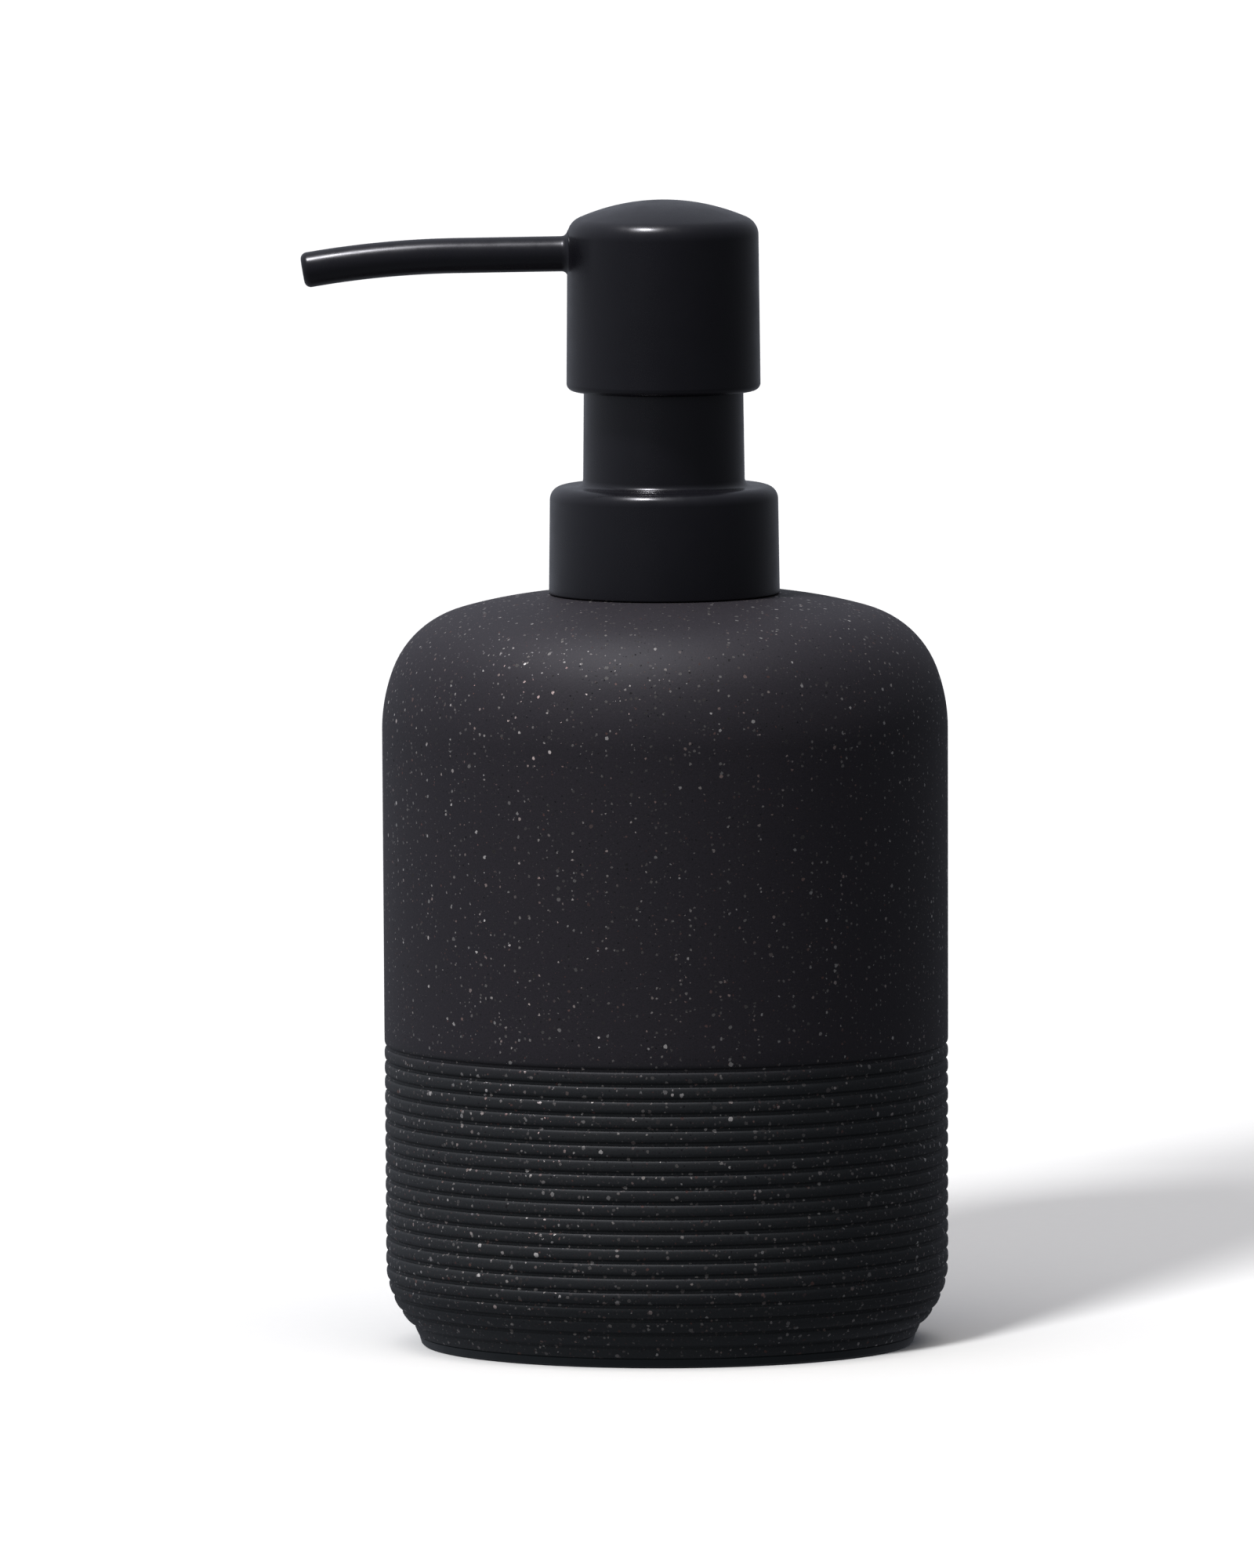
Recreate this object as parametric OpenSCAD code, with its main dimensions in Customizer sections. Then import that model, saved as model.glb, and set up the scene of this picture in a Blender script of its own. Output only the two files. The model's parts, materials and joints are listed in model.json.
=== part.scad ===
// Soap dispenser: a ribbed cast bottle with a lotion pump under a domed head with a long thin spout.
// Z is the pump's axis and points up, z = 0 is the table, and the spout points along -X.

/* [Bottle] */
// Diameter of the bottle where its shoulder begins
bottle_d = 77; // [64:0.5:95]
// Height of the bottle, from the table to the face that the collar stands over
bottle_h = 102.4; // [84:0.2:130]
// Thickness of the cast wall
bottle_wall = 4.5; // [3:0.1:6]
// How much the radius shrinks from the shoulder down to the lower corner
bottle_draft = 0.2; // [0:0.05:0.6]
// Radius of the rounded lower corner
corner_r = 12.1; // [10:0.1:14]
// Radius of the shoulder's first, steep arc
shoulder_low_r = 22.9; // [16:0.1:28]
// Radius of the shoulder's second, tight arc
shoulder_mid_r = 13.1; // [8:0.1:15]

/* [Ribs] */
// Height of the highest groove
rib_top = 40.9; // [20:0.1:60]
// Distance between grooves
rib_pitch = 2; // [1.4:0.1:4]
// Width of a groove
groove_w = 0.8; // [0.4:0.05:1]
// Depth of a groove
groove_depth = 0.45; // [0.2:0.05:0.8]

/* [Foot] */
// Height of the foot ring under the body
foot_h = 1.4; // [1.2:0.1:3]
// Thickness of the non-slip pad
pad_t = 1; // [0.6:0.1:1.1]
// How far the pad stands proud of the foot ring
pad_proud = 0.2; // [0.1:0.05:0.4]

/* [Neck] */
// Diameter over the neck's thread
thread_d = 27.4; // [22.8:0.1:33]
// Height of the threaded neck above the bottle
neck_h = 9.7; // [9:0.1:13]
// Rise of the thread in one turn
thread_pitch = 4.2333; // [3:0.0001:4.5]
// Thickness of the neck's wall under its thread
neck_wall = 2.25; // [1.5:0.05:3]

/* [Collar] */
// Distance from the thread's crest out to the collar's side
collar_margin = 2; // [1.9:0.05:5]
// Thickness of the tower's wall
tower_wall = 1.7; // [1:0.1:2.2]

/* [Pump] */
// Travel of the head
press_stroke = 12; // [8:0.1:15]
// Outer radius of the stem
stem_r = 3.5; // [2.9:0.05:4.2]
// Room for the piston between the stem and the cylinder's bore
piston_room = 2.5; // [2.4:0.05:3]
// Radius of the inlet ball
ball_r = 2.38; // [2:0.01:2.6]
// How far the inlet ball can lift
ball_lift = 1.5; // [0.8:0.1:2]
// How far the piston slips on the stem to open the outlet valve
valve_slip = 0.8; // [0.4:0.1:1.2]
// Outer radius of the dip tube
tube_r = 2.75; // [2.2:0.05:3.3]

/* [Head] */
// Thickness of the head's skirt
head_wall = 1.85; // [1.2:0.05:3]
// Height of the head
head_h = 25.9; // [24.5:0.1:34]
// Radius of the dome on top
dome_r = 28.5; // [22:0.5:60]
// Rounding between the dome and the side
dome_edge_r = 2.6; // [1:0.1:4]

/* [Spout] */
// Outer radius of the spout
spout_r = 2.4; // [2.3:0.05:2.8]
// Gap between the head's core and the dome over it, which sets the spout's height
spout_room = 0.09; // [0.05:0.01:1.5]
// Length of the straight part, from the pump's axis
spout_straight = 28; // [18:0.5:60]
// Length of the curved part
spout_curved = 19.5; // [10:0.5:40]
// Radius of the curve
spout_curve_r = 130; // [60:1:300]
// How far the straight part already points down, in degrees
spout_slope = 0.76; // [0:0.01:5]

/* [Hidden] */

round_fn = 96;
arc_steps = 10;
run_gap = 0.05;    // radial clearance of what turns or slides
seat_gap = 0.05;   // clearance between faces that rest on each other across a joint
fit_gap = 0.1;     // clearance between moulded parts that are snapped together
cut = 1;           // how far a cutting solid runs past what it cuts

bottle_r = bottle_d / 2;
lower_r = bottle_r - bottle_draft;
thread_r = thread_d / 2;
collar_r = thread_r + collar_margin;

// From the stem outwards: cylinder, upstand, chaplet, tower and head
cylinder_wall = 1.2;
upstand_wall = 1.7;
chaplet_wall = 1.3;
chaplet_gap = 0.25;
slide_gap = 0.35;
cylinder_r = stem_r + piston_room;
upstand_r = cylinder_r + upstand_wall;
chaplet_r = upstand_r + run_gap + chaplet_wall;
tower_bore_r = chaplet_r + chaplet_gap;
tower_r = tower_bore_r + tower_wall;
head_bore_r = tower_r + slide_gap;
head_r = head_bore_r + head_wall;

// Lower corner: the arc meets the foot's slope at step_z and is upright at corner_z.
band_h = 1;
corner_rise = 8.95;
step_z = foot_h + band_h;
corner_z = step_z + corner_rise;
foot_slope = 0.39;
foot_chamfer = 0.15;
base_land = 5.3;
step_r = lower_r - corner_r + sqrt(pow(corner_r, 2) - pow(corner_z - step_z, 2));
foot_r = step_r - foot_slope * (step_z - foot_h);
opening_r = step_r - base_land;

// Mouth of the bottle
insert_flange_t = 1.5;
insert_flange_lip = 0.4;
insert_flange_r = thread_r + insert_flange_lip;
counterbore_gap = 0.15;
counterbore_r = insert_flange_r + counterbore_gap;
counterbore_depth = insert_flange_t + seat_gap;
mouth_step = 1.1;
mouth_r = thread_r - mouth_step;
mouth_wall = 5.4;
mouth_depth = 8.6;
collar_gap = 0.1;
seat_drop = 0.05;

// Shoulder: three arcs, each tangent to the last. The third reaches in to the collar's edge.
shoulder_a = [0, 21.2, 74, 86.3];
low_c_r = bottle_r - shoulder_low_r;
mid_c_r = low_c_r + (shoulder_low_r - shoulder_mid_r) * cos(shoulder_a[1]);
shoulder_top_r = (mid_c_r + shoulder_mid_r * cos(shoulder_a[2]) - collar_r)
    / (cos(shoulder_a[2]) - cos(shoulder_a[3]));
top_c_r = mid_c_r + (shoulder_mid_r - shoulder_top_r) * cos(shoulder_a[2]);
shoulder_z = bottle_h - seat_drop - shoulder_low_r * sin(shoulder_a[1])
    - shoulder_mid_r * (sin(shoulder_a[2]) - sin(shoulder_a[1]))
    - shoulder_top_r * (sin(shoulder_a[3]) - sin(shoulder_a[2]));
mid_c_z = shoulder_z + (shoulder_low_r - shoulder_mid_r) * sin(shoulder_a[1]);
top_c_z = mid_c_z + (shoulder_mid_r - shoulder_top_r) * sin(shoulder_a[2]);

// Base plug
plug_gap = 0.05;
plug_wall = 2.5;
plug_floor_t = 2;
plug_rise = 2.8;
plug_top = foot_h + plug_rise;
pad_margin = 1.6;
pad_r = opening_r - pad_margin;
pad_gap = 0.2;

// Neck insert and its seal
thread_depth = 1.15;
neck_core_r = thread_r - thread_depth;
neck_bore_r = neck_core_r - neck_wall;
neck_lip_z = bottle_h + neck_h;
insert_gap = 0.08;
insert_r = mouth_r - insert_gap;
insert_len = 9.4;
seal_drop = 6.4;
seal_z = bottle_h - seal_drop;
seal_h = 2.2;
seal_groove = 1.12;
seal_root_r = insert_r - seal_groove;
seal_bead_r = 0.5;
seal_bead_gap = 0.03;

// Thread ridges: the nut's ridge lies under the neck's, and both run one turn.
thread_turns = 1;
thread_steps = 36;
thread_fade = 4;
neck_ridge_rise = 3.8;
neck_ridge_z = bottle_h + neck_ridge_rise;
nut_ridge_drop = 1.9;
ridge_root_w = 1.5;
ridge_crest_w = 0.9;
ridge_sink = 0.2;

// Stack above the neck's lip
gasket_t = 1;
flange_t = 1.2;
flange_inset = 0.15;
flange_r = neck_core_r - flange_inset;
nut_top_t = 1.25;
collar_top_t = 1.4;
flange_z = neck_lip_z + gasket_t;
nut_top_z = flange_z + flange_t + seat_gap;
collar_ceiling_z = nut_top_z + nut_top_t + fit_gap;
collar_top_z = collar_ceiling_z + collar_top_t;
thread_gap = 0.3;
crest_gap = 0.45;
nut_bore_r = thread_r + thread_gap;
collar_wall = 0.9;
nut_grip_gap = 0.05;
collar_bore_r = collar_r - collar_wall;
nut_r = collar_bore_r - nut_grip_gap;
nut_crest_r = neck_core_r + crest_gap;
collar_draft = 0.2;
collar_edge_r = 1.8;
collar_fillet_r = 1;
collar_foot_z = bottle_h + collar_gap;
tower_draft = 0.2;
tower_edge = 0.3;

// Cylinder of the pump
upstand_rise = 1.4;
upstand_top = collar_top_z + upstand_rise;
chaplet_top_t = 1.3;
chaplet_top = upstand_top + fit_gap + chaplet_top_t;
guide_rise = 0.9;
guide_bottom = neck_lip_z + guide_rise;
vent_r = 0.5;
vent_rise = 4.3;

// Piston and outlet valve
piston_h = 7.2;
piston_top_gap = 0.8;
web_t = 1.4;
web_lap = 0.5;
web_r = stem_r - web_lap;
web_z = guide_bottom - valve_slip - piston_top_gap - piston_h;
stem_wall = 1.3;
stem_bottom = web_z + web_t + valve_slip;
stem_bore_r = stem_r - stem_wall;
waist_cut = 0.3;
waist_r = stem_bore_r - waist_cut;
cone_rate = 1.2;
cone_top = web_z - seat_gap + (web_r - waist_r) / cone_rate;
cone_h = 2;
disc_rim = 0.2;
disc_r = waist_r + cone_rate * cone_h + disc_rim;
disc_t = 1.17;
disc_bottom = cone_top - cone_h - disc_t;
spigot_len = 2.9;
rod_grip = 7.6;
rod_top = stem_bottom + rod_grip;
slot_w = 1;
slot_core_r = 1.1;

// Spring, ball cage, ball and tube socket
wire_r = 0.4;
spring_inset = 0.1;
spring_r = disc_r - wire_r - spring_inset;
spigot_gap = 0.3;
spigot_r = spring_r - wire_r - spigot_gap;
spring_turns = 8;
spring_steps = 20;
wire_sides = 8;
spring_spare = 9.9;
spring_seat_z = disc_bottom - press_stroke - spring_spare;
spring_len = disc_bottom - spring_seat_z;
closed_pitch = 2.1 * wire_r;
cage_h = 2;
cage_rim_h = 1;
cage_hub_r = 1.3;
cage_arm_w = 1.2;
ledge_z = spring_seat_z - cage_h;
ball_side_gap = 0.9;
chamber_r = ball_r + ball_side_gap;
inlet_rate = 0.67;
inlet_r = ball_r * inlet_rate;
hub_drop = 1.4;
ball_stop_z = ledge_z - hub_drop;
ball_z = ball_stop_z - ball_lift - ball_r - seat_gap;
ball_seat_gap = 0.01;
seat_apex_z = ball_z - (ball_r + ball_seat_gap) * sqrt(2);
seat_bottom_z = seat_apex_z + inlet_r;
seat_top_z = seat_apex_z + chamber_r;
inlet_len = 1.4;
socket_top = seat_bottom_z - inlet_len;
socket_len = 11;
socket_gap = 0.03;
socket_wall = 1.5;
tube_wall = 0.8;
tube_floor_gap = 3;
tube_cut_a = 35;
tube_bottom = pad_t + plug_floor_t + tube_floor_gap;

// Head
head_gap = 1;
head_bottom = collar_top_z + press_stroke + head_gap;
head_top = head_bottom + head_h;
head_draft = 0.2;
head_top_r = head_r - head_draft;
head_edge_r = 1;
dome_c_z = head_top - dome_r;
edge_c_z = dome_c_z + sqrt(pow(dome_r - dome_edge_r, 2) - pow(head_top_r - dome_edge_r, 2));
edge_a = atan2(edge_c_z - dome_c_z, head_top_r - dome_edge_r);
dome_a = acos(head_bore_r / (dome_r - head_wall));

// Spout and the channel that feeds it
channel_r = 1.3;
core_disc_t = 1.3;
roof_z = dome_c_z + sqrt(pow(dome_r - head_wall, 2) - pow(head_bore_r, 2));   // where the cavity's wall meets the dome
spout_z = roof_z - spout_room - core_disc_t - channel_r;
spout_bore_r = 1.55;
spout_nose = 1.6;
spout_edge_r = 0.9;
spout_flare = 0.7;
spout_lap = 0.3;     // how far the rods at both ends reach over the curve
spout_step = 0.02;   // how much slimmer the curve is than those rods
curve_a = spout_curved / spout_curve_r * 180 / PI;
liner_gap = 0.05;
liner_r = spout_bore_r - liner_gap;
liner_bore_r = 0.95;
liner_start = 8;
liner_recess = 0.8;

// Core of the head
core_socket_wall = 1.5;
socket_r = stem_r + core_socket_wall;
channel_wall_r = 2.4;
press_spare = 0.5;   // what is left between the head and the tower when the head is right down
stem_headroom = 1.7;
stem_top = spout_z - channel_r - stem_headroom;
stem_chamber_r = 2;
core_disc_r = head_bore_r - fit_gap;
core_disc_z = spout_z + channel_r;
core_foot = chaplet_top + press_stroke + press_spare;
core_rib_t = 1;
core_rib_z = spout_z - channel_wall_r;
stem_bead_drop = 5.5;
stem_bead_z = stem_top - stem_bead_drop;
stem_bead_h = 0.8;
stem_bead = 0.35;

// The tower ends just under the head's channel when the head is pressed right down.
tower_top = spout_z - channel_wall_r - press_stroke - press_spare;

// Points of an arc about [c_r, c_z], from angle a0 to a1
function arc(c_r, c_z, r, a0, a1) =
    [for (i = [0 : arc_steps]) let (a = a0 + (a1 - a0) * i / arc_steps) [c_r + r * cos(a), c_z + r * sin(a)]];

// Radius of the bottle's outside below the shoulder, without its grooves
function belly_r(z) = z < corner_z
    ? lower_r - corner_r + sqrt(pow(corner_r, 2) - pow(corner_z - z, 2))
    : lower_r + bottle_draft * (z - corner_z) / (shoulder_z - corner_z);

// One groove: heights in groove widths and depths in groove depths
groove_shape = [[-0.8, 0], [-0.5, 0.18], [-0.25, 0.8], [0, 1], [0.25, 0.8], [0.5, 0.18], [0.8, 0]];
groove_count = floor((rib_top - step_z) / rib_pitch) + 1;

// The shoulder's three arcs, pushed in by a wall's thickness
function shoulder(inset, last_a) = concat(
    arc(low_c_r, shoulder_z, shoulder_low_r - inset, shoulder_a[0], shoulder_a[1]),
    arc(mid_c_r, mid_c_z, shoulder_mid_r - inset, shoulder_a[1], shoulder_a[2]),
    arc(top_c_r, top_c_z, shoulder_top_r - inset, shoulder_a[2], last_a)
);

function reversed(list) = [for (i = [len(list) - 1 : -1 : 0]) list[i]];

module lathe(points) {
    rotate_extrude($fn = round_fn)
        polygon(points);
}

// A ring between two radii and two heights
module ring(inner_r, outer_r, z0, z1) {
    lathe([[inner_r, z0], [outer_r, z0], [outer_r, z1], [inner_r, z1]]);
}

module cylinder_between(r, z0, z1) {
    translate([0, 0, z0])
        cylinder(r = r, h = z1 - z0, $fn = round_fn);
}

// A helical ridge with one turn: wide at its root, narrow at its crest, fading out at both ends.
module thread_ridge(root_r, crest_r, z0) {
    outward = crest_r > root_r;
    function at(i, r, z) = let (a = 360 * thread_turns * i / thread_steps) [r * cos(a), r * sin(a), z];
    function fade(i) = min(1, max(0.1, min(i, thread_steps - i) / thread_fade));
    function section(i) = let (
        z = z0 + thread_pitch * thread_turns * i / thread_steps,
        crest = root_r + (crest_r - root_r) * fade(i),
        in_r = outward ? root_r : crest,
        out_r = outward ? crest : root_r,
        in_w = (outward ? ridge_root_w : ridge_crest_w) / 2,
        out_w = (outward ? ridge_crest_w : ridge_root_w) / 2
    ) [at(i, in_r, z - in_w), at(i, out_r, z - out_w), at(i, out_r, z + out_w), at(i, in_r, z + in_w)];
    points = [for (i = [0 : thread_steps]) each section(i)];
    last = 4 * thread_steps;
    sides = [
        for (i = [0 : thread_steps - 1], j = [0 : 3])
            let (a = 4 * i + j, b = 4 * i + (j + 1) % 4)
            each [[a, b, b + 4], [a, b + 4, a + 4]]
    ];
    ends = [[3, 2, 1], [3, 1, 0], [last, last + 1, last + 2], [last, last + 2, last + 3]];
    polyhedron(points, concat(ends, sides));
}

// Height of the spring's wire after t turns: one closed turn at each end, evenly open between them
function coil_z(t) =
    t < 1 ? wire_r + closed_pitch * t
    : t > spring_turns - 1 ? spring_len - wire_r - closed_pitch * (spring_turns - t)
    : wire_r + closed_pitch
        + (spring_len - 2 * wire_r - 2 * closed_pitch) * (t - 1) / (spring_turns - 2);

module coil() {
    rings = spring_turns * spring_steps;
    points = [
        for (i = [0 : rings], j = [0 : wire_sides - 1])
            let (
                t = i / spring_steps,
                b = 360 * j / wire_sides,
                r = spring_r + wire_r * cos(b)
            )
            [r * cos(360 * t), r * sin(360 * t), coil_z(t) + wire_r * sin(b)]
    ];
    sides = [
        for (i = [0 : rings - 1], j = [0 : wire_sides - 1])
            let (a = wire_sides * i + j, b = wire_sides * i + (j + 1) % wire_sides)
            each [[a, b, b + wire_sides], [a, b + wire_sides, a + wire_sides]]
    ];
    start_cap = [for (j = [1 : wire_sides - 2]) [0, j + 1, j]];
    last = wire_sides * rings;
    end_cap = [for (j = [1 : wire_sides - 2]) [last, last + j, last + j + 1]];
    polyhedron(points, concat(start_cap, end_cap, sides));
}

// Places its children on the spout's axis, which runs along -X of the tilted frame.
module spout_frame() {
    translate([0, 0, spout_z])
        rotate([0, -spout_slope, 0])
            children();
}

// Places its children where the spout's curve ends, with Z pointing out of the spout.
module spout_end_frame() {
    spout_frame()
        translate([-spout_straight, 0, -spout_curve_r])
            rotate([0, -curve_a, 0])
                translate([0, 0, spout_curve_r])
                    rotate([0, -90, 0])
                        children();
}

// A rod of radius r along the spout's straight part, from a distance off the pump's axis
module spout_straight_rod(r, from) {
    spout_frame()
        translate([-spout_straight - spout_lap, 0, 0])
            rotate([0, 90, 0])
                cylinder(r = r, h = spout_straight + spout_lap - from, $fn = round_fn);
}

// A rod along the spout's curve, a touch slimmer than r so that its ends lie inside the rods they meet
module spout_curved_rod(r) {
    spout_frame()
        translate([-spout_straight, 0, -spout_curve_r])
            rotate([90, 0, 0])
                rotate([0, 0, 90])
                    rotate_extrude(angle = curve_a, $fn = 4 * round_fn)
                        translate([spout_curve_r, 0])
                            circle(r = r - spout_step, $fn = round_fn);
}

// A rod of radius r along the whole spout, ending a distance past the curve's end
module spout_rod(r, from, past) {
    spout_straight_rod(r, from);
    spout_curved_rod(r);
    spout_end_frame()
        translate([0, 0, -spout_lap])
            cylinder(r = r, h = spout_lap + past, $fn = round_fn);
}

module bottle_body() {
    inner_low_a = acos((opening_r - lower_r + corner_r) / (corner_r - bottle_wall));
    boss_r = mouth_r + mouth_wall;
    boss_a = acos((boss_r - top_c_r) / (shoulder_top_r - bottle_wall));
    outside = concat(
        [[foot_r - foot_chamfer, foot_h], [foot_r, foot_h + foot_chamfer], [step_r, step_z]],
        [
            for (k = [groove_count - 1 : -1 : 0], s = groove_shape)
                let (z = rib_top - k * rib_pitch + s[0] * groove_w)
                if (z > step_z) [belly_r(z) - s[1] * groove_depth, z]
        ],
        shoulder(0, shoulder_a[3])
    );
    mouth = [
        [counterbore_r + 0.6, bottle_h],
        [counterbore_r, bottle_h],
        [counterbore_r, bottle_h - counterbore_depth],
        [mouth_r, bottle_h - counterbore_depth],
        [mouth_r, bottle_h - mouth_depth],
        [boss_r, bottle_h - mouth_depth]
    ];
    inside = concat(
        reversed(shoulder(bottle_wall, boss_a)),
        arc(lower_r - corner_r, corner_z, corner_r - bottle_wall, 0, -inner_low_a),
        [[opening_r, foot_h]]
    );
    color("#2b2a2c")
        lathe(concat(outside, mouth, inside));
}

module base_plug() {
    edge = 0.3;
    rim_r = foot_r - foot_slope * (foot_h - pad_proud);
    spigot = opening_r - plug_gap;
    color("#1d1f20")
        lathe([
            [0, pad_t],
            [pad_r + pad_gap, pad_t],
            [pad_r + pad_gap, pad_proud],
            [rim_r - edge, pad_proud],
            [rim_r, pad_proud + edge],
            [foot_r - foot_chamfer, foot_h - foot_chamfer],
            [foot_r - 2 * foot_chamfer, foot_h],
            [spigot, foot_h],
            [spigot, plug_top],
            [spigot - plug_wall, plug_top],
            [spigot - plug_wall, pad_t + plug_floor_t],
            [0, pad_t + plug_floor_t]
        ]);
}

module foot_pad() {
    edge = 0.2;
    color("#3a3a3a")
        lathe([[0, 0], [pad_r - edge, 0], [pad_r, edge], [pad_r, pad_t], [0, pad_t]]);
}

module neck_insert() {
    lip = 0.4;
    flange_top = bottle_h - seat_gap;
    color("#d8d8d4") {
        lathe([
            [neck_bore_r, bottle_h - insert_len],
            [insert_r - lip, bottle_h - insert_len],
            [insert_r, bottle_h - insert_len + lip],
            [insert_r, seal_z],
            [seal_root_r, seal_z],
            [seal_root_r, seal_z + seal_h],
            [insert_r, seal_z + seal_h],
            [insert_r, bottle_h - counterbore_depth],
            [insert_flange_r, bottle_h - counterbore_depth],
            [insert_flange_r, flange_top],
            [neck_core_r, flange_top],
            [neck_core_r, neck_lip_z - lip],
            [neck_core_r - lip, neck_lip_z],
            [neck_bore_r, neck_lip_z]
        ]);
        thread_ridge(neck_core_r - ridge_sink, thread_r, neck_ridge_z);
    }
}

module neck_seal() {
    inner = seal_root_r + run_gap;
    band_r = inner + 0.6;
    z0 = seal_z + run_gap;
    z1 = seal_z + seal_h - run_gap;
    crest = mouth_r - seal_bead_gap - seal_bead_r;
    color("#b9b4ac") {
        ring(inner, band_r, z0, z1);
        for (z = [z0 + seal_bead_r, z1 - seal_bead_r])
            rotate_extrude($fn = round_fn)
                translate([crest, z])
                    circle(r = seal_bead_r, $fn = 24);
    }
}

module collar() {
    side_top_r = collar_r - collar_draft;
    tower_top_r = tower_r - tower_draft;
    lead = 0.15;
    outside = concat(
        [[collar_bore_r, collar_foot_z], [collar_r - lead, collar_foot_z], [collar_r, collar_foot_z + lead]],
        arc(side_top_r - collar_edge_r, collar_top_z - collar_edge_r, collar_edge_r, 0, 90),
        arc(tower_r + collar_fillet_r, collar_top_z + collar_fillet_r, collar_fillet_r, 270, 180),
        arc(tower_top_r - tower_edge, tower_top - tower_edge, tower_edge, 0, 90)
    );
    inside = [
        [tower_bore_r, tower_top],
        [tower_bore_r, collar_ceiling_z],
        [collar_bore_r, collar_ceiling_z]
    ];
    color("#1b1c1f")
        lathe(concat(outside, inside));
}

module closure_nut() {
    foot_z = bottle_h + 0.3;
    color("#232427") {
        lathe([
            [nut_bore_r, foot_z],
            [nut_r, foot_z],
            [nut_r, nut_top_z + nut_top_t],
            [upstand_r + 0.2, nut_top_z + nut_top_t],
            [upstand_r + 0.2, nut_top_z],
            [nut_bore_r, nut_top_z]
        ]);
        thread_ridge(nut_bore_r + ridge_sink, nut_crest_r, neck_ridge_z - nut_ridge_drop);
    }
}

module gasket() {
    color("#e6e4df")
        ring(cylinder_r + cylinder_wall + 0.25, flange_r, neck_lip_z, flange_z);
}

module pump_housing() {
    outer_r = cylinder_r + cylinder_wall;
    chamber_wall_r = chamber_r + 1.6;
    tube_seat_r = tube_r + socket_gap;
    stub_r = tube_seat_r + socket_wall;
    color("#e9e9e4")
        difference() {
            lathe([
                [cylinder_r, upstand_top],
                [cylinder_r, ledge_z],
                [chamber_r, ledge_z],
                [chamber_r, seat_top_z],
                [inlet_r, seat_bottom_z],
                [inlet_r, socket_top],
                [tube_seat_r, socket_top],
                [tube_seat_r, socket_top - socket_len],
                [stub_r, socket_top - socket_len],
                [stub_r, socket_top],
                [chamber_wall_r, socket_top + 1],
                [chamber_wall_r, ledge_z - 4],
                [outer_r, ledge_z - 1.2],
                [outer_r, flange_z],
                [flange_r, flange_z],
                [flange_r, flange_z + flange_t],
                [upstand_r, flange_z + flange_t],
                [upstand_r, upstand_top]
            ]);
            translate([cylinder_r - cut, 0, web_z + vent_rise])
                rotate([0, 90, 0])
                    cylinder(r = vent_r, h = cylinder_wall + 2 * cut, $fn = 32);
        }
}

module chaplet() {
    guide_r = stem_r + run_gap;
    tube_outer_r = cylinder_r - 0.1;
    skirt_r = upstand_r + run_gap;
    ceiling = chaplet_top - chaplet_top_t;
    edge = 0.4;
    color("#dededa")
        lathe([
            [guide_r, guide_bottom],
            [tube_outer_r, guide_bottom],
            [tube_outer_r, ceiling],
            [skirt_r, ceiling],
            [skirt_r, nut_top_z + nut_top_t + seat_gap],
            [chaplet_r, nut_top_z + nut_top_t + seat_gap],
            [chaplet_r, chaplet_top - edge],
            [chaplet_r - edge, chaplet_top],
            [guide_r + edge, chaplet_top],
            [guide_r, chaplet_top - edge]
        ]);
}

module ball_cage() {
    outer_r = cylinder_r - 0.08;
    rim_gap = 0.2;
    seat_r = spigot_r;
    rim_r = spring_r + wire_r + rim_gap;
    color("#cfd2d2") {
        lathe([
            [seat_r, ledge_z],
            [outer_r, ledge_z],
            [outer_r, spring_seat_z + cage_rim_h],
            [rim_r, spring_seat_z + cage_rim_h],
            [rim_r, spring_seat_z],
            [seat_r, spring_seat_z]
        ]);
        translate([0, 0, ball_stop_z])
            cylinder(r = cage_hub_r, h = spring_seat_z - ball_stop_z - 0.4, $fn = 48);
        for (a = [0, 120, 240])
            rotate([0, 0, a])
                translate([0, -cage_arm_w / 2, ledge_z])
                    cube([seat_r + 0.4, cage_arm_w, cage_h - 0.4]);
    }
}

module check_ball() {
    color("#b8bcc0")
        translate([0, 0, ball_z])
            sphere(r = ball_r, $fn = round_fn);
}

module return_spring() {
    color("#c3c6c9")
        translate([0, 0, spring_seat_z])
            coil();
}

module dip_tube() {
    top = socket_top - run_gap;
    color("#e4e6e6")
        difference() {
            ring(tube_r - tube_wall, tube_r, tube_bottom, top);
            translate([-tube_r, -2 * tube_r, tube_bottom])
                rotate([0, tube_cut_a, 0])
                    translate([-cut, 0, -4 * tube_r])
                        cube([6 * tube_r, 4 * tube_r, 4 * tube_r]);
        }
}

module piston() {
    hub_r = stem_r + run_gap;
    lip_r = cylinder_r - run_gap;
    top = web_z + piston_h;
    color("#f0efe9")
        lathe([
            [web_r, web_z],
            [web_r, web_z + web_t],
            [hub_r, web_z + web_t],
            [hub_r, top],
            [hub_r + 0.7, top],
            [hub_r + 0.9, web_z + web_t + 0.8],
            [lip_r - 1, web_z + web_t + 0.5],
            [lip_r - 0.6, top],
            [lip_r, top],
            [lip_r, top - 0.8],
            [lip_r - 0.4, top - 1.8],
            [lip_r - 0.4, web_z + 0.6],
            [lip_r, web_z - 1.2],
            [lip_r, web_z - 2],
            [lip_r - 0.5, web_z - 2],
            [lip_r - 0.9, web_z]
        ]);
}

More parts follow.
